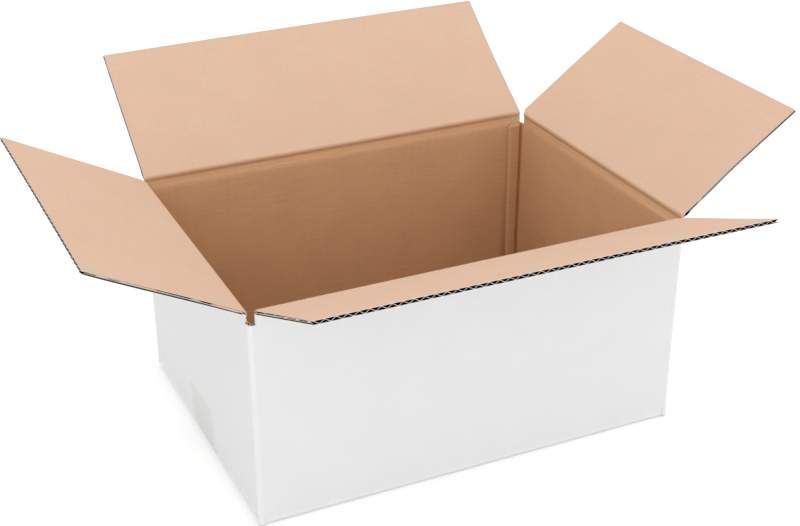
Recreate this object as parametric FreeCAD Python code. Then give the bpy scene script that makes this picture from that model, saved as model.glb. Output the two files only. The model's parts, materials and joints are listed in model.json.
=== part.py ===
import FreeCAD, Part
import math
import os

V = FreeCAD.Vector

# A white-lined single-wall shipping box: one glued blank of corrugated board,
# taped shut below, with its four top flaps standing open.
# Millimetres and degrees. The origin is the centre of the resting face, +Z is up,
# +X runs along the length, and the front (long) wall faces -Y.

# Box
inside_length = 300.0
inside_width = 220.0
box_height = 152.2        # resting face to the crease of the long flaps
closed_meeting_gap = 9.2  # left open between the long flaps when they are shut

# Corrugated board
board = 2.6               # over both liners
liner = 0.3
medium = 0.25
flute_pitch = 6.45
tip_radius = 1.0          # of the medium's centre line where it meets a liner
crushed_margin = 1.5      # flutes are pressed shut this far from a crease

# Creases and slots
hinge_gap = 0.2           # each side of a top crease's axis
layer_gap = 0.3           # between flaps that lie on each other
slot_half = 4.0           # a slot's edge to the outside of the corner
back_inset = 1.5          # the same at the back wall's top slot and raw end
slot_drop = 8.0           # top slots run this far below the crease
corner_foot = 0.6         # corners end this far above the long bottom flaps' face

# Glued joint at the rear right corner
tab_width = 10.4          # the part of the tab that shows inside
tab_chamfer = 2.5

# Bottom tape
tape_width = 50.0
tape_thickness = 0.1
tape_rise = 35.0          # height of its ends on the short walls
tape_slack = 0.5          # its bends are this much tighter than the folds they bridge

# Angles of the open flaps, outward from upright
front_angle = 67.0
back_angle = 53.0
left_angle = 62.0
right_angle = 54.0

# Sizes that follow
length = inside_length + 2 * board
width = inside_width + 2 * board
flap_depth = (width - closed_meeting_gap) / 2
fold_radius = board
long_crease = box_height
short_crease = long_crease - board - layer_gap
long_floor = tape_thickness
short_floor = long_floor + board + layer_gap
long_end = length / 2 - slot_half
short_end = width / 2 - slot_half
back_end = length / 2 - back_inset
right_wall_end = width / 2 - board - fold_radius
slot_floor = long_crease - slot_drop
past = 1.0                # how far a cutting shape runs beyond what it cuts

# Flute shape: straight flanks between rounded tips
half_pitch = flute_pitch / 2
core = board - 2 * liner
tip_rise = (core - medium) / 2 - tip_radius
flank_angle = math.atan2(2 * tip_rise, half_pitch)
flank_angle += math.asin(2 * tip_radius / math.hypot(half_pitch, 2 * tip_rise))
channel_radius = tip_radius - medium / 2
channel_tangent = V(channel_radius * math.sin(flank_angle),
                    -tip_rise - channel_radius * math.cos(flank_angle), 0)
channel_half = channel_tangent.x + (core / 2 - channel_tangent.y) / math.tan(flank_angle)


class Side:
    """One wall with its two flaps, drawn as if it were the front wall."""

    def __init__(self, turn, half, top, foot, crease, floor, angle):
        self.turn = turn        # about Z, from the front wall's place
        self.half = half        # centre of the box to the wall's outer face
        self.start, self.end = top              # ends of its top flap
        self.foot_start, self.foot_end = foot   # ends of its bottom flap
        self.crease = crease
        self.floor = floor
        self.angle = angle

    def place(self, shape, height=0.0, lean=0.0):
        """Lean a shape about the wall's outer edge, raise it and turn it to this side."""
        shape.rotate(V(0, 0, 0), V(1, 0, 0), lean)
        shape.translate(V(0, -self.half, height))
        shape.rotate(V(0, 0, 0), V(0, 0, 1), self.turn)
        return shape


long_span = (-long_end, long_end)
short_span = (-short_end, short_end)
right_span = (-short_end, right_wall_end)
front = Side(0, width / 2, long_span, long_span, long_crease, long_floor, front_angle)
back = Side(180, width / 2, (-back_end, back_end), (-back_end, long_end),
            long_crease, long_floor, back_angle)
left = Side(-90, length / 2, short_span, short_span, short_crease, short_floor, left_angle)
right = Side(90, length / 2, right_span, right_span, short_crease, short_floor, right_angle)
sides = [front, back, left, right]


def outline(points, arcs=None):
    """A face from corner points; arcs gives the middle of the edge that leaves a corner."""
    arcs = arcs or {}
    edges = []
    for index, point in enumerate(points):
        following = points[(index + 1) % len(points)]
        if index in arcs:
            edges.append(Part.Arc(point, arcs[index], following).toShape())
        else:
            edges.append(Part.LineSegment(point, following).toShape())
    return Part.Face(Part.Wire(edges))


def along_wall(points, start, end, arcs=None):
    """Extrude a section, given as (depth behind the outer face, height), along a wall."""
    placed = [V(start, depth, height) for depth, height in points]
    middles = {index: V(start, *middle) for index, middle in (arcs or {}).items()}
    return outline(placed, middles).extrude(V(end - start, 0, 0))


def fold_middle(x, y, x_sign, y_sign):
    """The middle of a fold's outer arc about the centre x, y."""
    reach = fold_radius * math.sqrt(0.5)
    return V(x + x_sign * reach, y + y_sign * reach, 0)


def flute_channel(centre, open_inward, start, end):
    """The air in half a flute: its base on one liner, its rounded tip towards the other."""
    way = 1 if open_inward else -1
    middle = V(centre, board / 2, 0)
    base = channel_half
    tangent = channel_tangent
    points = [middle + V(-base, way * core / 2, 0),
              middle + V(-tangent.x, way * tangent.y, 0),
              middle + V(tangent.x, way * tangent.y, 0),
              middle + V(base, way * core / 2, 0)]
    tip = middle + V(0, way * (-tip_rise - channel_radius), 0)
    face = outline(points, {1: tip})
    face.translate(V(0, 0, start))
    return face.extrude(V(0, 0, end - start))


def open_sided_flutes(first, last, start, end):
    """Flutes across a flap, cut through along both of its side edges."""
    count = round((last - first) / half_pitch)
    step = (last - first) / count
    centres = [first + (index + 0.5) * step for index in range(-1, count + 1)]
    return [flute_channel(x, index % 2 == 0, start, end) for index, x in enumerate(centres)]


def closed_flutes(first, last, start, end):
    """Flutes along a wall, all of them inside its crushed ends."""
    room = last - first - 2 * channel_half
    count = int(room / half_pitch)
    centre = (first + last) / 2
    places = [centre + (index - count / 2) * half_pitch for index in range(count + 1)]
    return [flute_channel(x, index % 2 == 0, start, end) for index, x in enumerate(places)]


def top_flap(side):
    """A flap hinged at its wall's outer liner, with the crease's inner half pressed to 45 degrees."""
    section = [(0, hinge_gap), (board, hinge_gap + board), (board, flap_depth), (0, flap_depth)]
    plate = along_wall(section, side.start, side.end)
    root = hinge_gap + board + crushed_margin
    flutes = open_sided_flutes(side.start, side.end, root, flap_depth + past)
    return side.place(plate.cut(flutes), side.crease, side.angle)


def bottom_flap(side):
    """A closed bottom flap and the fold that joins it to its wall."""
    radius = fold_radius
    section = [(0, radius), (radius, 0), (flap_depth, 0), (flap_depth, board), (board, board)]
    middle = radius * (1 - math.sqrt(0.5))
    plate = along_wall(section, side.foot_start, side.foot_end, {0: (middle, middle)})
    root = radius + crushed_margin
    flutes = open_sided_flutes(side.foot_start, side.foot_end, root, flap_depth + past)
    for flute in flutes:
        flute.rotate(V(0, 0, 0), V(1, 0, 0), -90)
        flute.translate(V(0, 0, board))
    return side.place(plate.cut(flutes), side.floor)


def wall_strip():
    """The four walls as one strip, from the back wall's raw end round to the right wall's slot."""
    x, y, r = length / 2, width / 2, fold_radius
    points = [V(back_end, y, 0),
              V(-x + r, y, 0), V(-x, y - r, 0),
              V(-x, -y + r, 0), V(-x + r, -y, 0),
              V(x - r, -y, 0), V(x, -y + r, 0),
              V(x, right_wall_end, 0), V(x - board, right_wall_end, 0),
              V(x - board, -y + board, 0), V(-x + board, -y + board, 0),
              V(-x + board, y - board, 0), V(back_end, y - board, 0)]
    arcs = {1: fold_middle(-x + r, y - r, -1, 1),
            3: fold_middle(-x + r, -y + r, -1, -1),
            5: fold_middle(x - r, -y + r, 1, -1)}
    strip = outline(points, arcs)
    foot = long_floor + corner_foot
    strip.translate(V(0, 0, foot))
    return strip.extrude(V(0, 0, long_crease - foot))


def corner_slot(x_sign, y_sign, wall_end):
    """The slot between two top flaps; wall_end is where it starts on the long wall."""
    x_size = length / 2 + past - wall_end
    y_size = width / 2 + past - short_end
    slot = Part.makeBox(x_size, y_size, slot_drop + past, V(0, 0, slot_floor))
    x = wall_end if x_sign > 0 else -wall_end - x_size
    y = short_end if y_sign > 0 else -short_end - y_size
    slot.translate(V(x, y, 0))
    return slot


def wall_trims(side):
    """What a wall loses at its two creases: the bevel above and the fold below."""
    outer, inner = -past, board + past
    edge = side.crease - hinge_gap
    top = long_crease + past
    bevel = [(outer, edge - outer), (inner, edge - inner), (inner, top), (outer, top)]
    fold_top = side.floor + fold_radius
    fold = [(outer, fold_top), (inner, fold_top), (inner, -past), (outer, -past)]
    above = along_wall(bevel, side.start - past, side.end + past)
    below = along_wall(fold, side.foot_start, side.foot_end)
    return [side.place(above), side.place(below)]


def wall_flutes(side):
    """The flutes inside one wall, pressed shut at its folds and creases."""
    start = side.floor + fold_radius + crushed_margin
    end = side.crease - hinge_gap - board - crushed_margin
    flutes = closed_flutes(side.foot_start, side.foot_end, start, end)
    return [side.place(flute) for flute in flutes]


def glue_tab():
    """The tab folded from the right wall and glued inside the back wall."""
    x, y, r = length / 2, width / 2 - board, fold_radius
    free_end = x - board - tab_width
    fold = outline([V(x, right_wall_end, 0), V(x - r, y, 0), V(free_end, y, 0),
                    V(free_end, right_wall_end, 0)], {0: fold_middle(x - r, y - r, 1, 1)})
    foot = short_floor + fold_radius + layer_gap
    fold.translate(V(0, 0, foot))
    tab = fold.extrude(V(0, 0, slot_floor - foot))
    for height, way in ((foot, 1), (slot_floor, -1)):
        corner = outline([V(free_end, y, height), V(free_end + tab_chamfer, y, height),
                          V(free_end, y, height + way * tab_chamfer)])
        tab = tab.cut(corner.extrude(V(0, -board, 0)))
    return tab


def box_body():
    """The folded and glued blank, apart from its four top flaps."""
    slots = [corner_slot(-1, -1, long_end), corner_slot(1, -1, long_end), corner_slot(-1, 1, back_end)]
    trims = [trim for side in sides for trim in wall_trims(side)]
    flutes = [flute for side in sides for flute in wall_flutes(side)]
    walls = wall_strip().cut(slots + trims).cut(flutes)
    return walls.fuse([glue_tab()] + [bottom_flap(side) for side in sides]).removeSplitter()


def bottom_tape():
    """A strip of tape over the bottom seam, drawn up the short walls at both ends."""
    t = tape_thickness
    wall_x = length / 2
    bend = fold_radius - tape_slack
    bend_x, bend_z = wall_x - bend, short_floor + bend
    # From the edge of the longest bottom flap the tape runs straight up to its bend.
    away_x, away_z = back_end - bend_x, long_floor - bend_z
    touch = math.atan2(away_z, away_x) + math.acos(bend / math.hypot(away_x, away_z))
    slope = touch + math.pi / 2

    def on_bend(angle, offset):
        reach = bend + offset
        return V(bend_x + reach * math.cos(angle), 0, bend_z + reach * math.sin(angle))

    half = [V(0, 0, 0), V(back_end + t * math.tan(slope / 2), 0, 0),
            on_bend(touch, t), V(wall_x + t, 0, bend_z), V(wall_x + t, 0, tape_rise),
            V(wall_x, 0, tape_rise), V(wall_x, 0, bend_z), on_bend(touch, 0),
            V(back_end, 0, long_floor), V(0, 0, long_floor)]
    arcs = {2: on_bend(touch / 2, t), 6: on_bend(touch / 2, 0)}
    strip = outline(half, arcs).extrude(V(0, tape_width, 0))
    strip.translate(V(0, -tape_width / 2, 0))
    return strip.fuse(strip.mirror(V(0, 0, 0), V(1, 0, 0))).removeSplitter()


nodes = {
    "box_body": box_body(),
    "front_top_flap": top_flap(front),
    "back_top_flap": top_flap(back),
    "left_top_flap": top_flap(left),
    "right_top_flap": top_flap(right),
    "bottom_tape": bottom_tape(),
}

os.makedirs("parts", exist_ok=True)
for name, shape in nodes.items():
    shape.exportStep("parts/" + name + ".step")
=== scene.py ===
"""A white-lined single-wall shipping box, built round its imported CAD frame."""
import json
import math

import bpy
import numpy as np
from bpy.props import FloatProperty, FloatVectorProperty, IntProperty, PointerProperty
from mathutils import Euler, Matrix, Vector


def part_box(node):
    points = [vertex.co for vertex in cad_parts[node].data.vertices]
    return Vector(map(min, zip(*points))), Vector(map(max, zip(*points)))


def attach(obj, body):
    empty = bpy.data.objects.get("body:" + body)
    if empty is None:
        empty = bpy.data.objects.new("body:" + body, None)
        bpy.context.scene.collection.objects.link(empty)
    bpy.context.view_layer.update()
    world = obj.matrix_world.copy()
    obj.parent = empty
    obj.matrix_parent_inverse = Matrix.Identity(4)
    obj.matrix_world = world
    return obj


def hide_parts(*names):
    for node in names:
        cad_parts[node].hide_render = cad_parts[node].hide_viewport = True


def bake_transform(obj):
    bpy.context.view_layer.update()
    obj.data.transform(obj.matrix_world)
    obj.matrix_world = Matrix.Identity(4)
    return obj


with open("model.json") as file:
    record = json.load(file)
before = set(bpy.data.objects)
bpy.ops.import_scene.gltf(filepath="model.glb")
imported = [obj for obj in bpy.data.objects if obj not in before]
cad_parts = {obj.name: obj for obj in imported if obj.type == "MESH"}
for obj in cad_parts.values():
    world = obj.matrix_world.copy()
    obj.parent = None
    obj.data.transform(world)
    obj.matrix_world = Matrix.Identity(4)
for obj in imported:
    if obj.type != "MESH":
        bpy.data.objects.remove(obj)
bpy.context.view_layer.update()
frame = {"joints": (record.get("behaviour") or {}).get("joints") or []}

bl_info = {
    "name": "Shipping Box",
    "version": (1, 0, 0),
    "blender": (4, 5, 0),
    "location": "3D View > Sidebar > Shipping Box",
    "description": "Builds an open corrugated shipping box with a taped bottom",
    "category": "Add Mesh",
}

MM = 1000.0  # the boards are drawn in millimetres


# Sizes read from the frame ---

HINGES = {joint["child"]: joint for joint in frame["joints"]}

# How far above its crease the board of each side really folds, in millimetres
SETTLED = {"front": -0.4, "back": -1.6, "left": 0.0, "right": 2.4}


def box_mm(node):
    low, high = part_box(node)
    return np.array(low) * MM, np.array(high) * MM


class Side:
    """One wall of the box with its flaps. u runs to the right as the wall is seen from outside,
    v upwards from the floor or outwards from a crease, and w inwards from the outer face."""

    def __init__(self, name, turn):
        self.name = name
        hinge = HINGES[name + "_flap"]
        x, y, z = [value * MM for value in hinge["pos_m"]]
        self.turn = math.radians(turn)
        self.half = max(abs(x), abs(y))
        self.crease = z
        self.lean = math.radians(-hinge["range_deg"][0] - 90.0)
        low, high = box_mm(name + "_top_flap")
        corners = np.array([[low[0], low[1]], [high[0], high[1]]])
        along = corners @ np.array([math.cos(self.turn), math.sin(self.turn)])
        self.start, self.end = sorted(along)
        outward = np.array([math.sin(self.turn), -math.cos(self.turn)])
        reach = ((corners @ outward).max() - self.half) / math.sin(self.lean)
        # The board folds a little off its crease, with its free edge left in its place
        settled = SETTLED[name]
        self.fold = self.crease + settled
        self.depth = reach - settled * math.cos(self.lean)
        self.lean += settled * math.sin(self.lean) / reach

    def to_world(self, u, inward, height):
        """Points in the row frame, in millimetres, from places along, behind and up the wall."""
        c, s = math.cos(self.turn), math.sin(self.turn)
        y = inward - self.half
        return joined(c * u - s * y, s * u + c * y, height)


FRONT = Side("front", 0)
RIGHT = Side("right", 90)
BACK = Side("back", 180)
LEFT = Side("left", -90)
SIDES = [FRONT, RIGHT, BACK, LEFT]
HALF_X, HALF_Y = LEFT.half, FRONT.half
BACK_RAW = BACK.end  # the back wall's raw end, at the right
FLOOR = box_mm("box_body")[0][2]  # the underside of the long bottom flaps
TAPE_HIGH = box_mm("bottom_tape")[1]


# The user's sizes and colours ---

def metres(name, description, value):
    return FloatProperty(name=name, description=description, default=value / MM,
                         min=0.0, unit="LENGTH", precision=5)


def tint(name, description, colour):
    return FloatVectorProperty(name=name, description=description, default=colour,
                               subtype="COLOR", size=3, min=0.0, max=1.0)


class BoardSizes(bpy.types.PropertyGroup):
    """Sizes of the corrugated board and of its pressed creases."""

    thickness: metres("Board", "Thickness over both liners", 2.6)
    liner: metres("Liner", "Thickness of each liner", 0.26)
    medium: metres("Medium", "Thickness of the fluted medium", 0.26)
    pitch: metres("Flute pitch", "Distance from flute to flute", 6.45)
    skew: FloatProperty(name="Flute skew", default=0.018,
                        description="Sideways run of the flutes for each unit along them")
    pressed: metres("Pressed thickness", "Thickness of the board at the bottom of a crease", 1.15)
    lip: metres("Shoulder", "How far the inner face falls back just under a top crease", 0.75)
    fold: metres("Fold radius", "Outer radius of the corner folds", 2.6)
    slot_floor: metres("Slot floor", "Height of the floor of the top slots", 144.2)
    foot_top: metres("Foot height", "Height where the walls end and the bottom folds begin", 8.0)
    tab: metres("Glue tab", "Free end of the glue tab to the inside of the corner", 10.4)
    seed: IntProperty(name="Seed", default=7,
                      description="Seed of the small irregularities of the cut edges")


class TapeSizes(bpy.types.PropertyGroup):
    """Sizes of the clear tape that shuts the bottom."""

    tooth: metres("Tooth", "Width of a tooth of the torn ends", 1.6)
    tooth_depth: metres("Tooth depth", "Depth of a tooth of the torn ends", 0.7)
    bend: metres("Bend radius", "Outer radius of the bend at the foot of each short wall", 2.2)


class BoxColours(bpy.types.PropertyGroup):
    """Colours of the papers, the tape and the stage."""

    white_liner: tint("White liner", "Coated outside of the board", (0.795, 0.80, 0.80))
    kraft_liner: tint("Kraft liner", "Brown inner side of the top flaps", (0.785, 0.55, 0.40))
    # Painted shade: the inside kraft is a darker copy of the kraft liner, standing in for the
    # shade inside the box.
    kraft_shaded_inside: tint("Kraft inside", "Brown inner side of the walls and the bottom",
                       (0.655, 0.405, 0.230))
    # Painted shade: the medium and the liners' faces in the hollows are near black, standing in
    # for the shade between the liners.
    medium: tint("Medium", "The fluted sheet and the hollows between the liners",
                 (0.028, 0.015, 0.009))
    cut_edge: tint("Cut edge", "Cut edges of the kraft liner and of the medium",
                   (0.95, 0.82, 0.71))
    tape: tint("Tape", "Clear film with its adhesive", (0.72, 0.72, 0.70))
    floor: tint("Floor", "Floor of the stage", (0.92, 0.92, 0.92))


# Shader maths ---

def function(operation):
    """A Math node as a method of Wire."""
    return lambda wire, *others: wire.finish.maths(operation, wire, *others)


def arithmetic(operation):
    """A Math node as an operator of Wire, with its reflected form."""
    return function(operation), lambda wire, other: wire.finish.maths(operation, other, wire)


class Wire:
    """An output socket. Operators on it add Math nodes to its tree."""

    __add__, __radd__ = arithmetic("ADD")
    __sub__, __rsub__ = arithmetic("SUBTRACT")
    __mul__, __rmul__ = arithmetic("MULTIPLY")
    __abs__ = function("ABSOLUTE")
    greater = function("MAXIMUM")
    sine = function("SINE")

    def __init__(self, finish, socket):
        self.finish = finish
        self.socket = socket

    def clamped(self):
        return self.finish.node("ShaderNodeClamp", {}, {"Value": self})["Result"]

    def ramp(self, low, high):
        """0 below low, 1 above high, smooth between."""
        return self.finish.node("ShaderNodeMapRange", {"interpolation_type": "SMOOTHSTEP"},
                                {"Value": self, "From Min": low, "From Max": high})["Result"]


class Finish:
    """The node tree of a material or of the world, and the ways to add nodes to it."""

    def __init__(self, owner):
        owner.use_nodes = True
        self.tree = owner.node_tree
        self.tree.nodes.clear()

    def node(self, kind, settings, sockets):
        """Add a node: its settings are set first, then the values or links of its sockets.
        Returns its outputs by name."""
        made = self.tree.nodes.new(kind)
        for name, value in settings.items():
            setattr(made, name, value)
        for name, value in sockets.items():
            if isinstance(name, int):
                target = made.inputs[name]
            else:
                target = [s for s in made.inputs if s.enabled and s.name == name][0]
            if isinstance(value, Wire):
                self.tree.links.new(value.socket, target)
            else:
                target.default_value = (*value, 1.0) if target.type == "RGBA" else value
        return {socket.name: Wire(self, socket) for socket in made.outputs if socket.enabled}

    def maths(self, operation, *values):
        made = self.node("ShaderNodeMath", {"operation": operation}, dict(enumerate(values)))
        return made["Value"]

    def parts(self, vector):
        split = self.node("ShaderNodeSeparateXYZ", {}, {"Vector": vector})
        return [split[axis] for axis in "XYZ"]

    def attribute(self, name):
        """The parts of a mesh's own vector attribute."""
        return self.parts(self.node("ShaderNodeAttribute", {"attribute_name": name}, {})["Vector"])

    def vector(self, *parts):
        return self.node("ShaderNodeCombineXYZ", {}, dict(zip("XYZ", parts)))["Vector"]

    def noise(self, place, scale, detail, roughness=0.5):
        """Noise at a place, which is a vector or its three parts."""
        if isinstance(place, tuple):
            place = self.vector(*place)
        sockets = {"Vector": place, "Scale": scale, "Detail": detail, "Roughness": roughness}
        return self.node("ShaderNodeTexNoise", {"noise_dimensions": "3D"}, sockets)["Fac"]

    def mixed(self, first, second, share, blend_type="MIX"):
        """Two colours mixed by a share of the second."""
        return self.node("ShaderNodeMix", {"data_type": "RGBA", "blend_type": blend_type},
                         {"Factor": share, "A": first, "B": second})["Result"]

    def shaded(self, colour, amount):
        """A colour made lighter or darker by an amount about 1."""
        sockets = dict.fromkeys(("Red", "Green", "Blue"), amount)
        grey = self.node("ShaderNodeCombineColor", {}, sockets)["Color"]
        return self.mixed(colour, grey, 1.0, "MULTIPLY")

    def bump(self, height, distance, strength):
        sockets = {"Height": height, "Distance": distance, "Strength": strength}
        return self.node("ShaderNodeBump", {}, sockets)["Normal"]

    def seen(self):
        """1 on the rays that are seen outright, in a shiny surface or through film, 0 on light."""
        ray = self.node("ShaderNodeLightPath", {}, {})
        direct = ray["Is Camera Ray"].greater(ray["Is Glossy Ray"])
        return direct.greater(ray["Is Transmission Ray"])

    def surface(self, colour, roughness, sockets):
        shader = self.node("ShaderNodeBsdfPrincipled", {},
                           {"Base Color": colour, "Roughness": roughness, **sockets})
        self.node("ShaderNodeOutputMaterial", {}, {"Surface": shader["BSDF"]})


# Materials ---

SPECK = (0.56, 0.55, 0.53)    # grey fibres in the white liner
WORN = (0.60, 0.52, 0.44)     # rubbed edges of the white liner
# Painted highlight: the white liner is lighter on creases and folds, partly from rubbing.
RUBBED_FOLD_HIGHLIGHT = (0.87, 0.87, 0.87)  # the white liner on a crease
# Painted shade: a deeper, warmer shade in the pressed corners and beside the glue tab.
DEEP_SHADE_TINT = (1.0, 0.87, 0.62)     # what the kraft liner is multiplied by in a pressed corner
EDGE_GREY = (0.51, 0.49, 0.46)     # the kraft liner near a cut edge
BLACK = (0.0, 0.0, 0.0)
PURE_WHITE = (1.0, 1.0, 1.0)


def paper_places(finish):
    """Where a point lies on its board: millimetres along the crease, along the flutes, and the
    board's own layer.
    And its marks: how pressed, which also carries painted shade and painted highlight; how far
    from a cut edge; and how far inside, which picks the darker kraft copy that is painted shade,
    above 1 a deeper painted shade."""
    return finish.attribute("board"), finish.attribute("marks")


def washboard(along, across, board):
    """The flutes showing faintly through a liner."""
    return ((along + across * board.skew) * (2.0 * math.pi / (board.pitch * MM))).sine()


def white_liner(finish, colours, board):
    """Coated white liner: clouded, with faint flutes, grey fibres and worn edges, and lighter on
    creases and folds, partly from rubbing and partly a painted highlight.
    """
    (u, v, layer), (pressed, edge, _) = paper_places(finish)
    flat = finish.vector(u, v, layer)
    cloud = finish.noise(flat, 0.035, 3.0, 0.55)
    grain = finish.noise((u * 0.35, v, layer), 1.1, 3.0, 0.6)
    flutes = washboard(u, v, board)
    tone = 1.0 + (cloud - 0.5) * 0.04 + (grain - 0.5) * 0.015 + flutes * 0.0035
    colour = finish.shaded(colours.white_liner, tone)
    specks = finish.noise((u * 0.4, v * 1.6, layer), 0.9, 2.0, 0.4)
    colour = finish.mixed(colour, SPECK, specks.ramp(0.735, 0.79) * 0.2)
    rub = finish.noise(flat, 0.6, 3.0, 0.6)
    worn = (1.0 - edge.ramp(0.0, 0.9)) * rub.ramp(0.45, 0.7)
    colour = finish.mixed(colour, WORN, worn * 0.35)
    # Creases and corner folds are lighter, partly from rubbing and partly a painted highlight.
    rubbed_and_highlight = pressed.clamped() * (0.75 - rub.ramp(0.35, 0.75) * 0.35)
    colour = finish.mixed(colour, RUBBED_FOLD_HIGHLIGHT, rubbed_and_highlight)
    normal = finish.bump(flutes * 0.5 + grain * 0.5 + cloud, 0.00006, 0.6)
    finish.surface(colour, 0.46 + grain * 0.12, {"Specular IOR Level": 0.35, "Normal": normal})


def kraft_liner(finish, colours, board):
    """Brown liner: fibre streaks across the flutes, flecks, and a darker pressed band, crushed
    paper and painted shade, with a painted highlight under it; inside the box a darker copy and
    deeper corners, both painted shade.
    """
    (u, v, layer), (pressed, edge, inside) = paper_places(finish)
    flat = finish.vector(u, v, layer)
    cloud = finish.noise(flat, 0.028, 3.0, 0.55)
    streak = finish.noise((u * 0.06, v, layer), 0.7, 4.0, 0.6)
    fibre = finish.noise((u * 0.3, v * 1.4, layer), 1.6, 3.0, 0.65)
    flutes = washboard(u, v, board)
    mottle = (cloud - 0.5) * 0.08 + (streak - 0.5) * 0.15 + (fibre - 0.5) * 0.17
    tone = 1.0 + mottle * (1.0 + inside * 0.9) + flutes * 0.006
    # The first mark darkens the kraft: crushed paper at creases and folds, and painted shade at
    # the creases, the tab, the corners and towards the bottom inside; below 0 it lightens, a
    # painted highlight under each crease.
    tone = tone * (1.0 - pressed * 0.13)
    # Inside the box the kraft takes its darker copy, as painted shade.
    paper_colour = finish.mixed(colours.kraft_liner, colours.kraft_shaded_inside, inside)
    colour = finish.shaded(paper_colour, tone)
    # Where the inside mark passes 1, a deeper painted shade: pressed corners and beside the glue
    # tab.
    colour = finish.mixed(colour, DEEP_SHADE_TINT, (inside - 1.0).clamped(), "MULTIPLY")
    kraft = np.array(colours.kraft_liner)
    warm = finish.noise(flat, 0.05, 2.0).ramp(0.35, 0.65)
    colour = finish.mixed(colour, kraft * (1.03, 0.97, 0.93), warm * (1.0 - inside) * 0.3)
    flecks = finish.noise((u * 0.55, v * 1.9, layer), 0.6, 2.0).ramp(0.64, 0.74)
    colour = finish.mixed(colour, kraft * (0.66, 0.60, 0.53), flecks * 0.30)
    pale = finish.noise((u * 1.3, v * 0.5, layer * 1.7), 0.6, 2.0).ramp(0.66, 0.76)
    pale = pale * (1.0 - inside * 0.6) * 0.28
    colour = finish.mixed(colour, kraft * (1.08, 1.12, 1.18), pale)
    # The flaps' kraft is greyer near a cut edge.
    greyed = (1.0 - edge.ramp(0.0, 2.2)) * (1.0 - inside)
    colour = finish.mixed(colour, EDGE_GREY, greyed * 0.3)
    rim = 1.0 - edge.ramp(0.1, 0.8)
    frayed = rim * finish.noise(flat, 0.9, 3.0, 0.6).ramp(0.45, 0.75)
    colour = finish.mixed(colour, colours.cut_edge, frayed * 0.5)
    normal = finish.bump(flutes * 0.4 + fibre + streak * 0.6, 0.00008, 0.7)
    finish.surface(colour, 0.80 + fibre * 0.12, {"Specular IOR Level": 0.25, "Normal": normal})


def plain_paper(finish, colour, depth, sheen):
    """Raw paper of cut edges, and of the medium, whose near-black colour is painted shade for the
    hollows between the liners.
    """
    (u, v, layer), _ = paper_places(finish)
    fibre = finish.noise((u, v * 0.5, layer * 3.0), 1.7, 3.0, 0.6)
    shade = finish.shaded(colour, 1.0 + (fibre - 0.5) * depth)
    normal = finish.bump(fibre, 0.00005, 0.6)
    finish.surface(shade, 0.85 + fibre * 0.1, {"Specular IOR Level": sheen, "Normal": normal})


def tape_film(finish, colours):
    """Clear film: glossy, faintly grey where the adhesive has wetted the paper."""
    (u, v, layer), _ = paper_places(finish)
    flat = finish.vector(u, v, layer)
    wet = finish.noise(flat, 0.05, 3.0, 0.6)
    ripple = finish.noise((u * 0.25, v, layer), 0.5, 2.0)
    bubbles = finish.noise(flat, 0.35, 2.0, 0.4).ramp(0.66, 0.74)
    lifted = abs(u).ramp(17.0, 25.0)
    alpha = ((0.066 + (wet - 0.5) * 0.12) * (1.0 - lifted * 0.5) + bubbles * 0.03).clamped()
    normal = finish.bump(ripple + bubbles * 0.5, 0.00006, 0.6)
    finish.surface(colours.tape, 0.12 + ripple * 0.12,
                   {"Alpha": alpha, "IOR": 1.47, "Normal": normal})


def floor_paint(finish, colours):
    """Pale floor that fades to plain white away from the box's own shadow."""
    place = finish.node("ShaderNodeTexCoord", {}, {})["Object"]
    grain = finish.noise(place, 40.0, 2.0)
    x, y, _ = finish.parts(place)
    past = (abs(x) - HALF_X / MM).greater(abs(y) - HALF_Y / MM)
    clear = past.ramp(-0.02, 0.0) * 0.24
    colour = finish.shaded(colours.floor, 1.0 + (grain - 0.5) * 0.004)
    glow = finish.mixed(BLACK, PURE_WHITE, finish.seen() * clear)
    finish.surface(colour, 0.9, {"Specular IOR Level": 0.0, "Emission Color": glow,
                                 "Emission Strength": 1.0})


def material(name, make, *arguments):
    """The named material, made once."""
    made = bpy.data.materials.get(name)
    if made is None:
        made = bpy.data.materials.new(name)
        make(Finish(made), *arguments)
    return made


def paper(scene):
    """The materials of a board, in the order of WHITE, KRAFT, HOLLOW_SHADE and CUT."""
    colours, board = scene.box_colours, scene.board_sizes
    return [material("white_liner", white_liner, colours, board),
            material("kraft_liner", kraft_liner, colours, board),
            material("medium_painted_shade", plain_paper, colours.medium, 0.25, 0.0),
            material("cut_edge", plain_paper, colours.cut_edge, 0.2, 0.2)]


# Boards as meshes ---

# The third material paints the medium and the liners' faces in the hollows near black, as their
# shade.
WHITE, KRAFT, HOLLOW_SHADE, CUT = range(4)
SHARP = 35.0         # edges that turn more than this many degrees are shaded sharp
BEND_HALF = 1.3      # a fold turns over this far each side of its middle
PRESSED_FROM = -4.5  # where the pressed band begins, below the fold
RIGHTWARDS = np.array([1.0, 0.0, 0.0])


def smooth(value):
    value = np.clip(value, 0.0, 1.0)
    return value * value * (3.0 - 2.0 * value)


def rise(value, low, high):
    """0 below low, 1 above high, smooth between."""
    return smooth((np.asarray(value, float) - low) / (high - low))


def fall(value, low, high):
    """1 below low, 0 above high, smooth between."""
    return 1.0 - rise(value, low, high)


def band(value, low, from_, to, high):
    """1 between from_ and to, 0 below low and above high, smooth between."""
    return rise(value, low, from_) * fall(value, to, high)


def joined(*parts):
    """Vectors from their three parts."""
    return np.stack(np.broadcast_arrays(*parts), -1)


def stations(*runs):
    """Places along a line from runs of (start, end, step), each station once."""
    places = []
    for start, end, step in runs:
        count = max(1, int(math.ceil(abs(end - start) / step - 1e-6)))
        places.extend(np.linspace(start, end, count + 1))
    return np.array(sorted(set(np.round(places, 5))))


def across(start, end, margin, step):
    """Stations from one side edge of a flap to the other, closer near the edges."""
    return stations((start, start + margin, 0.5), (start + margin, end - margin, step),
                    (end - margin, end, 0.5))


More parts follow.
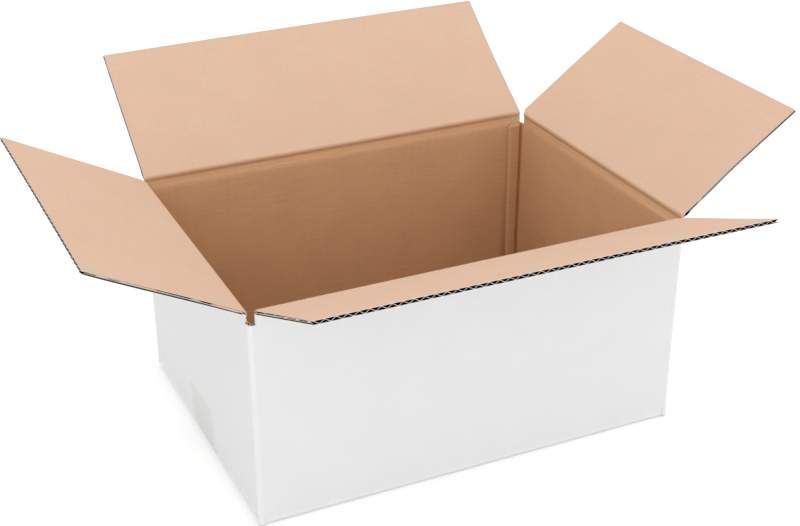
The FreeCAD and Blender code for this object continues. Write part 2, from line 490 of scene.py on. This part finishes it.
class Shape:
    """A mesh under construction, made of closed sheets."""

    def __init__(self):
        self.points, self.quads, self.kinds, self.board, self.marks = [], [], [], [], []
        self.count = 0

    def sheet(self, place, us, vs, low, high, kinds, marks=None, cells=None, origin=(0, 0, 0)):
        """A closed sheet between the depths low and high over a grid of u and v.
        kinds are the materials of its low face, its high face and its edges."""
        u, v = np.meshgrid(us, vs, indexing="ij")
        size = u.size
        index = np.arange(size).reshape(u.shape) + self.count
        on_board = joined(u + origin[0], v + origin[1], origin[2])
        shown = np.zeros(u.shape + (3,)) if marks is None else marks(u, v)
        for depth in (low, high):
            self.points.append(place(u, v, np.broadcast_to(depth, u.shape)).reshape(-1, 3))
            self.board.append(on_board.reshape(-1, 3))
            self.marks.append(shown.reshape(-1, 3))
        self.count += 2 * size
        if cells is None:
            cells = np.ones((len(us) - 1, len(vs) - 1), bool)
        i, j = np.nonzero(cells)
        a, b, c, d = index[i, j], index[i + 1, j], index[i + 1, j + 1], index[i, j + 1]
        self.add(np.stack([a, b, c, d], -1), kinds[0])
        self.add(np.stack([d, c, b, a], -1) + size, kinds[1])
        padded = np.pad(cells, 1)
        columns, rows = cells.shape
        for di, dj, first, second in ((-1, 0, (0, 0), (0, 1)), (1, 0, (1, 1), (1, 0)),
                                      (0, -1, (1, 0), (0, 0)), (0, 1, (0, 1), (1, 1))):
            open_edge = cells & ~padded[1 + di:1 + di + columns, 1 + dj:1 + dj + rows]
            i, j = np.nonzero(open_edge)
            p = index[i + first[0], j + first[1]]
            q = index[i + second[0], j + second[1]]
            self.add(np.stack([p, q, q + size, p + size], -1), kinds[2])

    def add(self, quads, kind):
        self.quads.append(quads)
        self.kinds.append(np.full(len(quads), kind))

    def to_object(self, name, materials):
        """A mesh object in the row frame, with the points that no face uses left out."""
        points = np.concatenate(self.points) / MM
        quads = np.concatenate(self.quads)
        used = np.unique(quads)
        renumber = np.zeros(len(points), int)
        renumber[used] = np.arange(len(used))
        mesh = bpy.data.meshes.new(name)
        mesh.from_pydata(points[used].tolist(), [], renumber[quads].tolist())
        mesh.polygons.foreach_set("material_index", np.concatenate(self.kinds))
        mesh.polygons.foreach_set("use_smooth", np.ones(len(quads), bool))
        for label, values in (("board", self.board), ("marks", self.marks)):
            made = mesh.attributes.new(label, "FLOAT_VECTOR", "POINT")
            kept = np.concatenate(values)[used].astype(np.float32)
            made.data.foreach_set("vector", kept.ravel())
        mesh.set_sharp_from_angle(angle=math.radians(SHARP))
        for each in materials:
            mesh.materials.append(each)
        mesh.validate()
        made = bpy.data.objects.new(name, mesh)
        bpy.context.scene.collection.objects.link(made)
        return made


class Board:
    """The board's section: two liners with the fluted medium between them."""

    flank = 0.94  # how straight the medium's flanks are, up to 1

    def __init__(self, sizes):
        self.full = sizes.thickness * MM
        self.skew = sizes.skew
        for name in ("liner", "medium", "pitch", "pressed", "lip"):
            setattr(self, name, getattr(sizes, name) * MM)

    def wave(self, u, v):
        """The medium's middle between the liners, from 0 to 1, with rounded tips."""
        turn = (u + v * self.skew) * (2.0 * math.pi / self.pitch)
        return 0.5 + 0.5 * np.arcsin(self.flank * np.sin(turn)) / math.asin(self.flank)

    def inner_face(self, press):
        """The depth of the inner face where the board is pressed, from 0 to 1."""
        return self.full - (self.full - self.pressed) * press

    def shoulder(self, v):
        """How far the inner face falls back on its way up to the pressed band below a fold."""
        return -self.lip * np.exp((np.minimum(v, PRESSED_FROM) - PRESSED_FROM) / 4.5)

    def liners(self, shape, places, us, vs, faces, marks, origin):
        """Both liners of a flap, each with its own way to place points."""
        outer, inner = faces(*np.meshgrid(us, vs, indexing="ij"))
        t = self.liner
        for place, low, high, kinds in (
                (places[0], outer, outer + t, (WHITE, HOLLOW_SHADE, WHITE)),
                (places[1], inner - t, inner, (HOLLOW_SHADE, KRAFT, CUT))):
            shape.sheet(place, us, vs, low, high, kinds, marks, origin=origin)

    def fluting(self, shape, place, us, vs, faces, shift=0.0, **more):
        """The medium between the liners. faces gives the outer and inner faces' depths at u, v."""
        u, v = np.meshgrid(us, vs, indexing="ij")
        outer, inner = faces(u, v)
        low = outer + self.liner
        room = inner - self.liner - self.medium - low
        middle = low + room * self.wave(u + shift, v)
        kinds = (HOLLOW_SHADE, HOLLOW_SHADE, CUT)
        shape.sheet(place, us, vs, middle, middle + self.medium, kinds, **more)


def bowed(points, share=1.0):
    """Let the top of the right wall and of its corners lean out."""
    out = 1.5 * rise(points[..., 2], 30.0, 148.0) * rise(points[..., 0], 105.0, 150.0) * share
    return points + out[..., None] * RIGHTWARDS


def to_edge(u, start, end):
    """Distance to the nearer side edge of a flap."""
    return np.minimum(u - start, end - u)


def edge_distance(u, v, start, end, free):
    """Distance to the nearest cut edge of a flap."""
    return np.minimum(to_edge(u, start, end), np.abs(free - v))


def wander(ragged, u, v):
    """How far a cut edge wanders at u and v, the same for both liners."""
    return ragged[np.abs(np.round(u * 1.9 + v * 3.1)).astype(int) % len(ragged)]


# Creases ---

# How much each crease's pressed band is darkened, as crushed paper and painted shade, and the
# paper just under it lightened, as a painted highlight
CREASE_SHADE_AND_HIGHLIGHT = {"front": (0.4, 1.1), "back": (-0.2, 1.7), "left": (0.4, 1.1), "right": (0.3, 0.9)}


def crease_press(v):
    """How far the board is pressed, from 0 to 1, at v above the fold."""
    return band(v, -4.3, -2.6, -1.5, 0.8)


def crushed_shade_and_highlight(v, side):
    """The pressed band is a little darker, as crushed paper and painted shade, and the paper just
    under it is lighter, as a painted highlight.
    """
    dark, light = CREASE_SHADE_AND_HIGHLIGHT[side.name]
    return dark * band(v, -4.4, -3.0, -2.4, 0.2) - light * band(v, -11.5, -4.7, -4.6, -3.4)


# The walls ---

class WallPath:
    """The outer face of the folded strip, from the back wall's raw end round to the glue tab."""

    def __init__(self, sizes):
        x, y, r = HALF_X, HALF_Y, sizes.fold * MM
        board = sizes.thickness * MM
        tab_face = y - board
        tab_end = x - board - sizes.tab * MM
        self.runs = []
        self.corners = []
        self.radius = r
        place = 0.0
        straight = [((BACK_RAW, y), (-x + r, y)), ((-x, y - r), (-x, -y + r)),
                    ((-x + r, -y), (x - r, -y)), ((x, -y + r), (x, RIGHT.end)),
                    ((x - r, tab_face), (tab_end, tab_face))]
        centres = [(-x + r, y - r), (-x + r, -y + r), (x - r, -y + r), (x - r, tab_face - r)]
        for number, (start, end) in enumerate(straight):
            length = math.dist(start, end)
            way = ((end[0] - start[0]) / length, (end[1] - start[1]) / length)
            self.runs.append((place, "line", start, way))
            place += length
            if number < len(centres):
                turn = math.radians(90.0 + 90.0 * number)
                arc = r * math.pi / 2
                self.runs.append((place, "arc", centres[number], turn))
                self.corners.append(place + arc / 2)
                place += arc
        self.length = place
        self.tab_start = self.runs[8][0]

    def place(self, u, v, w):
        """Points at u along the strip, height v and depth w."""
        u = np.clip(u, 0.0, self.length)
        x, y = np.zeros_like(u), np.zeros_like(u)
        for start, kind, anchor, way in self.runs:
            here = u >= start
            along = u[here] - start
            if kind == "line":
                x[here] = anchor[0] + way[0] * along - way[1] * w[here]
                y[here] = anchor[1] + way[1] * along + way[0] * w[here]
            else:
                angle = way + along / self.radius
                reach = self.radius - w[here]
                x[here] = anchor[0] + np.cos(angle) * reach
                y[here] = anchor[1] + np.sin(angle) * reach
        return joined(x, y, v)

    def shift(self, side):
        """u along the strip where a side's own u is zero."""
        start, _, anchor, _ = self.runs[{"back": 0, "left": 2, "front": 4, "right": 6}[side.name]]
        c, s = math.cos(side.turn), math.sin(side.turn)
        return start - (anchor[0] * c + anchor[1] * s)


class BuildWalls(bpy.types.Operator):
    """Build the four walls and the glue tab from one folded strip of board"""

    bl_idname = "shipping_box.build_walls"
    bl_label = "Walls and Glue Tab"

    chamfer = 2.5     # of the glue tab's corners
    slant = 0.016     # of the tab's free edge, in towards the corner on its way down
    foot_gap = 0.6    # the corners' feet end this far above the bottom flaps
    worn_foot = 1.9   # the rear left foot ends this much higher
    near_fold = 7.0   # the strip is drawn finely this far each side of a corner fold
    near_top = 16.0   # and this far below the slots' floor

    def execute(self, context):
        sizes = context.scene.board_sizes
        board = Board(sizes)
        path = WallPath(sizes)
        top, foot = sizes.slot_floor * MM, sizes.foot_top * MM
        low = FLOOR + self.foot_gap
        chamfer = self.chamfer
        tab_start, last_fold = path.tab_start, path.corners[3]
        spans = {side: (path.shift(side) + side.start, path.shift(side) + side.end)
                 for side in SIDES}
        creases = path.corners[:3] + [last_fold - 0.6]
        slots = [end for span in spans.values() for end in span]
        foot_ends = [end for end in slots if 1.0 < end < path.corners[2] + 7.0]

        def nearest(u, places):
            return np.min([np.abs(u - place) for place in places], axis=0)

        def run_in(v):
            """How far the tab's free edge has run in towards the corner at height v."""
            return self.slant * (top - v)

        def place(u, v, w):
            u = u - run_in(v) * rise(u, tab_start, path.length)
            v = v + self.worn_foot * fall(v, low, foot) * (np.abs(u - path.corners[0]) < 5.0)
            into_tab = rise(u, path.length - chamfer, path.length)
            lower = v - chamfer * into_tab * rise(v, top - 14.0, top)
            raised = lower + chamfer * into_tab * fall(v, foot, foot + 14.0)
            return bowed(path.place(u, raised, w))

        def crush(u):
            """How far the strip is pressed at its corner folds."""
            wide = np.where(u > last_fold - 8.0, 1.1, 0.0)
            return fall(nearest(u, creases) - wide, 0.5, 2.7)

        def panel(side, u):
            """1 on a side's wall, fading to 0 at its slots."""
            start, end = spans[side]
            return band(u, start, start + 4.0, end - 4.0, end)

        def in_wall(u):
            """Where the strip is between the two slots of a wall."""
            return np.any([(u > start) & (u < end) for start, end in spans.values()], axis=0)

        def faces(u, v):
            """The outer and inner faces, closed on each other at the tab's and the feet's ends."""
            rolled = 0.4 * fall(top - v, 0.0, 1.0) * (nearest(u, path.corners) < 4.2)
            outer = np.where(u > tab_start, 0.06, rolled)
            inner = board.inner_face(crush(u))
            for side in SIDES:
                inner = inner + panel(side, u) * board.shoulder(v - side.fold)
            tab_top = fall(top - v, 0.0, 2.2) * (u > path.length - sizes.tab * MM)
            closed = np.maximum(fall(path.length - u, 0.0, 2.6), tab_top)
            inner = inner - (inner - 0.7) * closed
            pinched = fall(nearest(u, foot_ends), 0.3, 1.4) * fall(v, foot - 3.0, foot)
            return outer, inner - (inner - 0.55) * pinched

        def beside_tab(u, v):
            """1 in the line of shade beside the tab's free edge."""
            edge = BACK_RAW - HALF_X + board.full + sizes.tab * MM - run_in(v)
            return np.exp(-((u - edge - 0.9) / 1.6) ** 2)

        def marks(u, v, creased=2.8):
            edge = np.minimum(u, np.abs(top - v) + 20.0 * in_wall(u))
            edge = np.where(u > tab_start, 20.0, edge)
            # The first mark: the corner folds, which the white liner shows as a painted highlight,
            # painted shade at the tab's free end and in the line beside it, and each crease's
            # painted shade and highlight.
            dark = creased * crush(u) + 0.8 * fall(path.length - u, 0.0, 1.2)
            dark = dark + (2.4 - 0.9 * rise(v, 30.0, 130.0)) * beside_tab(u, v)
            for side in SIDES:
                dark = dark + panel(side, u) * crushed_shade_and_highlight(v - side.fold, side)
            return joined(dark, edge, 1.0)

        def marks_inside(u, v):
            """Painted shade: the inside is darker towards the bottom, on the tab round its corner
            and in that corner's groove, and a little lighter just before the corner.
            """
            past = u - last_fold
            dark = 0.9 * fall(v, 30.0, 130.0) + 0.45 * np.exp(-np.abs(past) / 3.0) * (past > 0.0)
            dark = dark + 0.8 * np.exp(-((past + 1.6) / 2.2) ** 2)
            dark = dark - 0.5 * band(past, -20.0, -7.0, -7.0, -4.0)
            # A deeper painted shade in the pressed corners and beside the tab.
            deep_shade = crush(u) + 0.5 * beside_tab(u, v)
            return marks(u, v, 0.0) + joined(dark, 0.0, deep_shade)

        runs, done = [(0.0, 4.0, 0.5)], 4.0
        for corner in path.corners:
            begin, end = corner - self.near_fold, corner + self.near_fold
            runs += [(done, begin, 6.0), (begin, end, 0.35)]
            done = end
        runs[-1] = (last_fold - self.near_fold, path.length, 0.35)
        edges = {round(edge, 5) for edge in slots + [tab_start] if 0.0 < edge < path.length}
        us = np.array(sorted(set(stations(*runs)) | edges))
        feet = stations((low, foot, 1.0))
        below_top = top - self.near_top
        upper = stations((foot, foot + 6.0, 1.5), (foot + 6.0, below_top, 9.0),
                         (below_top, top, 0.8))
        vs = np.concatenate([feet[:-1], upper])
        middle = (us[:-1] + us[1:]) / 2
        cells = np.ones((len(us) - 1, len(vs) - 1), bool)
        cells[:, :len(feet) - 1] = (~in_wall(middle) & (middle < tab_start))[:, None]
        shape = Shape()
        outer, inner = faces(*np.meshgrid(us, vs, indexing="ij"))
        on_tab = np.searchsorted(us, tab_start)
        for first, last, outside, cut in ((0, on_tab + 1, WHITE, CUT),
                                          (on_tab, len(us), KRAFT, KRAFT)):
            part = slice(first, last)
            shown = cells[first:last - 1]
            shape.sheet(place, us[part], vs, outer[part], outer[part] + board.liner,
                        (outside, HOLLOW_SHADE, outside), marks, shown)
            shape.sheet(place, us[part], vs, inner[part] - board.liner, inner[part],
                        (HOLLOW_SHADE, KRAFT, cut), marks_inside, shown)
        columns = stations((0.0, tab_start, board.pitch / 10))
        rows = stations((foot + 4.0, below_top, 40.0), (below_top, top, 4.0))
        board.fluting(shape, place, columns, rows, faces)
        walls = shape.to_object("board_walls", paper(context.scene))
        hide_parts("box_body")
        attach(walls, "box")
        return {"FINISHED"}


def each_side(scene, more_seed=0):
    """Each side with its number, its shift along the strip and the wander of its cut edges."""
    path = WallPath(scene.board_sizes)
    rng = np.random.default_rng(scene.board_sizes.seed + more_seed)
    for number, side in enumerate(SIDES):
        yield number, side, path.shift(side), rng.normal(0.0, 0.05, 4096)


# The top flaps ---

class BuildTopFlaps(bpy.types.Operator):
    """Build the four open top flaps, each with the crease that joins it to its wall"""

    bl_idname = "shipping_box.build_top_flaps"
    bl_label = "Top Flaps"

    # How far the free corners and the middle stand in from flat, in millimetres
    warps = {"front": (0.0, -1.0, 0.4), "back": (0.0, -3.2, 0.5),
             "left": (-0.5, -0.8, -0.4), "right": (0.0, 0.6, 0.4)}
    # How far the cutting knife pressed the outer face in at the free edge and at the side edges
    crushed = {"front": (0.0, 0.0), "back": (0.0, 0.4), "left": (0.7, 0.0), "right": (0.0, 0.7)}
    # The end of each flap, and the height on it, where the medium crosses from liner to liner
    crossings = {"front": ("start", 20.0), "back": ("end", 60.0),
                 "left": ("end", 30.0), "right": ("start", 14.0)}
    # The torn medium in each side edge: the end, its lower and upper share of the room between
    # the liners, the length of its dashes, and the heights from which and to which it runs
    torn = {"front": [("start", 0.30, 0.80, 19.0, 0.5, 200.0), ("end", 0.0, 0.5, 40.0, 3.0, 60.0)],
            "left": [("end", 0.36, 0.86, 60.0, 0.5, 200.0), ("start", 0.0, 0.4, 30.0, 8.0, 60.0)],
            "right": [("start", 0.0, 0.95, 50.0, 12.5, 17.5)],
            "back": [("end", 0.0, 0.35, 30.0, 10.0, 80.0), ("start", 0.0, 0.5, 24.0, 5.0, 200.0)]}

    def execute(self, context):
        for number, side, shift, ragged in each_side(context.scene):
            origin = (shift, side.fold, 40.0 * (number + 1))
            self.build(context.scene, side, origin, ragged)
        return {"FINISHED"}

    def warp(self, side, share, out):
        """How far a flap stands in from flat, at a share of its crease and a share outwards."""
        left, right, bow = self.warps[side.name]
        lift = smooth(out) * (left * (1.0 - share) ** 2 + right * share ** 2)
        belly = np.sin(np.pi * np.clip(share, 0, 1)) * np.sin(np.pi * np.clip(out, 0, 1))
        return lift + bow * belly

    def trimmed(self, side, share, u, v):
        """Three roots are cut back beside a slot, and the left flap's free edge is cut short."""
        if side is RIGHT:
            u = u - 3.2 * rise(share, 0.85, 1.0) * fall(v, -1.0, 4.0)
        if side is FRONT:
            u = u + 0.9 * fall(share, 0.0, 0.1) * fall(v, -1.0, 6.0)
        if side is LEFT:
            u = u - 1.7 * rise(share, 0.8, 1.0) * fall(v, 0.0, side.depth)
            v = v - np.maximum(v, 0.0) * (0.010 + 0.012 * share)
        return u, v

    def build(self, scene, side, origin, ragged):
        board = Board(scene.board_sizes)
        start, end, free = side.start, side.end, side.depth
        bottom = scene.board_sizes.slot_floor * MM - side.fold
        which, height = self.crossings[side.name]
        phase = -getattr(side, which) - height * board.skew

        def place(u, v, w):
            share = (u - start) / (end - start)
            w = w + self.warp(side, share, v / free)
            u, v = self.trimmed(side, share, u, v)
            angle = side.lean * rise(v, -BEND_HALF, BEND_HALF)
            points = side.to_world(u, w * np.cos(angle) - v * np.sin(angle),
                                   side.fold + v * np.cos(angle) + w * np.sin(angle))
            if side is RIGHT:
                out = band(v, bottom, 0.0, 0.0, 60.0) * (2.2 - 2.6 * share)
                points = points + out[..., None] * RIGHTWARDS
            return bowed(points, fall(v, 0.0, 60.0))

        def press(u, v):
            side_edge = to_edge(u, start, end)
            at_slot = fall(side_edge, 0.0, 2.5) * fall(v, -1.0, 3.0)
            at_cut = 0.03 * fall(np.minimum(side_edge, free - v), 0.0, 1.6)
            return np.maximum(np.maximum(crease_press(v), at_slot * 0.75), at_cut)

        def faces(u, v):
            side_edge = to_edge(u, start, end)
            curl = 0.8 * fall(side_edge, 0.0, 0.9) * fall(v, -1.0, 3.0)
            at_free, at_side = self.crushed[side.name]
            curl = np.maximum(curl, at_free * fall(free - v, 0.0, 2.2))
            curl = np.maximum(curl, at_side * fall(side_edge, 0.0, 2.2) * rise(v, 2.0, 8.0))
            falling = board.shoulder(v) * fall(v, PRESSED_FROM, -3.0) * rise(side_edge, 0.5, 4.0)
            return curl, board.inner_face(press(u, v)) + falling

        def marks(u, v):
            edge = edge_distance(u, v, start, end, free)
            # The crease's painted shade and highlight, the distance to a cut edge, and below the
            # fold the darker kraft copy that is painted shade.
            return joined(crushed_shade_and_highlight(v, side), edge, fall(v, -1.5, 1.7))

        def rough(u, v, w):
            """The cut edges wander a little."""
            off = wander(ragged, u, v)
            at_side = np.isclose(u, start) | np.isclose(u, end)
            at_free = np.isclose(v, free)
            return place(np.where(at_side, u + off, u), np.where(at_free, v + off, v), w)

        def short(u, v, w):
            """The inner liner stops a little short of the outer one at the cut edges."""
            middle = (start + end) / 2
            short_v = v - 0.15 * rise(v, free - 3.0, free)
            shrunk = 1.0 - 0.22 * rise(v, 1.0, 4.0) / (end - middle)
            return rough(middle + (u - middle) * shrunk, short_v, w)

        us = across(start, end, 5.0, board.pitch / 2)
        vs = stations((bottom, -BEND_HALF, 0.4), (-BEND_HALF, BEND_HALF, 0.22),
                      (BEND_HALF, 6.0, 0.4), (6.0, free - 3.0, 8.0), (free - 3.0, free, 0.75))
        shape = Shape()
        board.liners(shape, (rough, short), us, vs, faces, marks, origin)
        columns = stations((start, end, board.pitch / 12))
        rows = stations((5.0, free - 3.0, 12.0), (free - 3.0, free - 0.04, 1.0))
        board.fluting(shape, place, columns, rows, faces, shift=phase, origin=origin)
        self.torn_flutes(shape, place, side, board, faces, origin)
        flap = shape.to_object(side.name + "_flap_board", paper(scene))
        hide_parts(side.name + "_top_flap")
        reach = 3.0
        below = side.to_world(0.0, 0.0, side.crease - reach) / MM
        beyond = side.to_world(0.0, -reach * math.sin(side.lean),
                               side.crease + reach * math.cos(side.lean)) / MM
        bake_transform(flap)

    def torn_flutes(self, shape, place, side, board, faces, origin):
        """The strips of torn medium that show in the side edges."""
        last = side.depth - 0.8
        for which, lower, upper, dashes, low, high in self.torn[side.name]:
            edge, inward = getattr(side, which), (0.25 if which == "start" else -0.25)
            high = min(high, last)

            def strip(row, step, depth):
                turn = row * 2.0 * math.pi / dashes + np.sin(row * 0.31)
                ragged = 0.3 + 0.7 * rise(0.5 + 0.5 * np.sin(turn), 0.3, 0.75)
                ends = rise(row, low, low + 1.5) * fall(row, high - 3.0, last)
                top = (lower + (upper - lower) * ragged * step) * ends
                u = edge + inward + np.sign(inward) * depth
                outer, inner = faces(u, row)
                base = outer + board.liner
                return place(u, row, base + (inner - board.liner - base) * top)

            shape.sheet(strip, stations((low, high, 1.0)), np.array([0.0, 0.5, 1.0]), 0.0, 0.12,
                        (KRAFT, KRAFT, KRAFT), origin=origin)


# The bottom flaps ---

class BuildBottomFlaps(bpy.types.Operator):
    """Build the four closed bottom flaps with the folds that join them to the walls"""

    bl_idname = "shipping_box.build_bottom_flaps"
    bl_label = "Bottom Flaps"

    def execute(self, context):
        for number, side, shift, ragged in each_side(context.scene, 1):
            self.build(context.scene, side, (shift, 0.0, 0.0), ragged, number * 0.9)
        return {"FINISHED"}

    def build(self, scene, side, origin, ragged, phase):
        sizes = scene.board_sizes
        board = Board(sizes)
        radius, top = sizes.fold * MM, sizes.foot_top * MM
        start, end = side.start, side.end
        if side is BACK:
            end = FRONT.end
        if side in (LEFT, RIGHT):
            start, end = start - 1.2, end + 1.2
        fold_top = FLOOR + BACK.crease - side.crease + radius
        arc = radius * math.pi / 2
        flat = fold_top - arc  # the fold has turned over, and the flap lies flat from here on
        free = flat - (side.depth - radius)

        def place(u, v, w):
            v = np.where(np.isclose(v, free), v + wander(ragged, u, v), v)
            past = fold_top - v
            angle = np.clip(past, 0.0, arc) / radius
            reach = radius - w
            inward = radius - reach * np.cos(angle) + np.maximum(past - arc, 0.0)
            height = fold_top - reach * np.sin(angle) + np.maximum(-past, 0.0)
            return side.to_world(u, inward, height)

        def press(v):
            return fall(np.abs(v - (fold_top - arc / 2)), 2.2, 5.2) * 0.7

        def faces(u, v):
            """The outer and inner faces, drawn together at the ends of the fold."""
            side_edge = to_edge(u, start, end)
            upright = rise(v, flat - 3.0, flat)
            curl = 0.35 * fall(side_edge, 0.0, 0.9) * upright
            inner = board.inner_face(press(v))
            return curl, inner - (inner - 1.0) * fall(side_edge, 0.0, 1.2) * upright

        def marks(u, v):
            edge = edge_distance(u, v, start, end, free)
            # The fold's pressed band darkens the kraft as crushed paper and lightens the white
            # liner as a painted highlight; the flap takes the darker kraft copy that is painted
            # shade.
            return joined(press(v), edge, 1.0)

        us = across(start, end, 3.0, 2 * board.pitch)
        vs = stations((free, free + 2.0, 1.0), (free + 2.0, flat - 5.0, 12.0),
                      (flat - 5.0, top, 0.5))
        shape = Shape()
        board.liners(shape, (place, place), us, vs, faces, marks, origin)
        columns = stations((start, end, board.pitch / 8))
        rows = stations((free + 0.1, free + 2.0, 1.0), (free + 2.0, flat - 4.0, 25.0))
        board.fluting(shape, place, columns, rows, faces, shift=phase, origin=origin)
        flap = shape.to_object(side.name + "_bottom_board", paper(scene))
        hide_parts("box_body")
        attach(flap, "box")


# The tape ---

class BuildTape(bpy.types.Operator):
    """Build the clear tape over the bottom seam and up both short walls"""

    bl_idname = "shipping_box.build_tape"
    bl_label = "Bottom Tape"

    film = 0.08    # thickness
    torn = 5.0     # the teeth of a torn end fade out over this length

    def middle_line(self, bend):
        """Places in the x-z plane along the film's outer face, from one torn end to the other."""
        wall_x, _, rise_top = TAPE_HIGH
        fold_foot = FLOOR + BACK.crease - LEFT.crease
        centre = np.array([wall_x - bend, fold_foot + bend - 0.1])
        away = np.array([BACK_RAW, 0.0]) - centre
        touch = math.atan2(away[1], away[0]) + math.acos(bend / math.hypot(*away))
        heights = (rise_top, rise_top - 1.0, rise_top - 6.0, 20.0, centre[1] + 3.0)
        right = [(wall_x, height) for height in heights]
        right += [tuple(centre + bend * np.array([math.cos(turn), math.sin(turn)]))
                  for turn in np.linspace(0.0, touch, 5)]
        right += [(BACK_RAW + 0.05, 0.02), (BACK_RAW - 1.0, 0.0), (BACK_RAW - 20.0, 0.0)]
        return np.array([(-x, z) for x, z in right] + [(x, z) for x, z in right[::-1]])

    def execute(self, context):
        sizes = context.scene.tape_sizes
        tooth, depth = sizes.tooth * MM, sizes.tooth_depth * MM
        line = self.middle_line(sizes.bend * MM)
        step = np.hypot(*np.diff(line, axis=0).T)
        along = np.concatenate([[0.0], np.cumsum(step)])
        total = along[-1]

        def at(v):
            return np.stack([np.interp(v, along, axis) for axis in line.T])

        def place(u, v, w):
            teeth = np.abs((u / tooth) % 1.0 - 0.5) * 2.0 * depth
            tear = 0.5 * np.sin(u * 0.13) + 0.3 * np.sin(u * 0.41 + 1.0)
            first, last = fall(v, 0.0, self.torn), rise(v, total - self.torn, total)
            shown = v + first * (teeth + 0.6 + tear) - last * (teeth + 0.6 - tear)
            x, z = at(shown)
            dx, dz = at(shown + 0.05) - at(shown - 0.05)
            size = np.maximum(np.hypot(dx, dz), 1e-9)
            return joined(x - dz / size * w, u, z + dx / size * w)

        half_width = TAPE_HIGH[1]
        us = stations((-half_width, half_width, tooth / 4))
        ends = [3.0, self.torn, total - self.torn, total - 3.0]
        vs = np.array(sorted(set(np.round(np.concatenate([along, ends]), 4))))
        shape = Shape()
        shape.sheet(place, us, vs, 0.0, self.film, (0, 0, 0), origin=(0.0, 0.0, 7.0))
        film = material("tape_film", tape_film, context.scene.box_colours)
        tape = shape.to_object("bottom_tape_film", [film])
        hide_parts("bottom_tape")
        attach(tape, "box")
        return {"FINISHED"}


# The stage ---

class BuildStage(bpy.types.Operator):
    """Set the floor, the soft lights, the white surroundings and the camera"""

    bl_idname = "shipping_box.build_stage"
    bl_label = "Stage"

    ambient = 0.97
    ambient_tint = (1.0, 0.99, 0.985)
    reach = 12.0     # of the floor, each way
    sunk = 0.0003    # the floor lies this far below the box
    # A low strip light on each side of the box: x, y and watts
    strips = {"front": (0.0, -1.7, 2.3), "left": (-1.7, 0.0, 0.4),
              "right": (1.7, 0.0, 2.0), "back": (0.0, 1.7, 2.0)}
    strip_height = 0.07
    eye = (-0.38645, -0.84280, 0.56759)
    eye_turn = (63.3691, 0.4189, -24.6961)  # degrees

    def execute(self, context):
        scene = context.scene
        self.floor(scene)
        self.lamp(scene, "key", (-0.9, -1.75, 1.35), 0.12, (1.4, 1.4), 2.6)
        for name, (x, y, watts) in self.strips.items():
            place = (x, y, self.strip_height)
            self.lamp(scene, name, place, self.strip_height, (2.2, 0.14), watts)
        self.surroundings(scene)
        lens = bpy.data.cameras.new("camera")
        lens.lens, lens.sensor_width = 66.592, 36.0
        lens.clip_start, lens.clip_end = 0.01, 50.0
        camera = bpy.data.objects.new("camera", lens)
        camera.location = self.eye
        camera.rotation_euler = Euler([math.radians(angle) for angle in self.eye_turn])
        scene.collection.objects.link(camera)
        scene.camera = camera
        scene.view_settings.view_transform = "Standard"
        return {"FINISHED"}

    def floor(self, scene):
        mesh = bpy.data.meshes.new("floor")
        corners = [(-1, -1), (1, -1), (1, 1), (-1, 1)]
        mesh.from_pydata([(x * self.reach, y * self.reach, -self.sunk) for x, y in corners],
                         [], [(0, 1, 2, 3)])
        mesh.materials.append(material("floor_paint", floor_paint, scene.box_colours))
        floor = bpy.data.objects.new("floor", mesh)
        scene.collection.objects.link(floor)

    def surroundings(self, scene):
        """Soft light from all round, behind a background that is seen as plain white."""
        scene.world = bpy.data.worlds.new("surroundings")
        sky = Finish(scene.world)
        soft, white = [
            sky.node("ShaderNodeBackground", {}, {"Color": colour, "Strength": strength})
            for colour, strength in ((self.ambient_tint, self.ambient), (PURE_WHITE, 1.0))]
        mix = sky.node("ShaderNodeMixShader", {},
                       {0: sky.seen(), 1: soft["Background"], 2: white["Background"]})
        sky.node("ShaderNodeOutputWorld", {}, {"Surface": mix["Shader"]})

    def lamp(self, scene, name, place, aim, size, watts):
        """An area light that points at the middle of the box, at the height aim."""
        data = bpy.data.lights.new(name, "AREA")
        data.shape = "RECTANGLE"
        data.size, data.size_y = size
        data.energy = watts
        lamp = bpy.data.objects.new(name, data)
        lamp.location = place
        way = Vector((0.0, 0.0, aim)) - Vector(place)
        lamp.rotation_euler = way.to_track_quat("-Z", "Y").to_euler()
        scene.collection.objects.link(lamp)


class BoxPanel(bpy.types.Panel):
    """Lists the sizes, the colours and the pieces"""

    bl_idname = "VIEW3D_PT_shipping_box"
    bl_label = "Shipping Box"
    bl_space_type = "VIEW_3D"
    bl_region_type = "UI"
    bl_category = "Shipping Box"

    def draw(self, context):
        scene = context.scene
        for group in (scene.board_sizes, scene.tape_sizes, scene.box_colours):
            area = self.layout.box()
            for name in group.__annotations__:
                area.prop(group, name)
        for operator in OPERATORS:
            self.layout.operator(operator.bl_idname)


OPERATORS = [BuildWalls, BuildTopFlaps, BuildBottomFlaps, BuildTape, BuildStage]
GROUPS = {"board_sizes": BoardSizes, "tape_sizes": TapeSizes, "box_colours": BoxColours}


def register():
    for each in [*GROUPS.values(), *OPERATORS, BoxPanel]:
        bpy.utils.register_class(each)
    for name, group in GROUPS.items():
        setattr(bpy.types.Scene, name, PointerProperty(type=group))


def unregister():
    for name in GROUPS:
        delattr(bpy.types.Scene, name)
    for each in reversed([*GROUPS.values(), *OPERATORS, BoxPanel]):
        bpy.utils.unregister_class(each)


def main():
    register()
    for operator in OPERATORS:
        group, name = operator.bl_idname.split(".")
        getattr(getattr(bpy.ops, group), name)()
    bpy.context.view_layer.update()


if __name__ == "__main__":
    main()
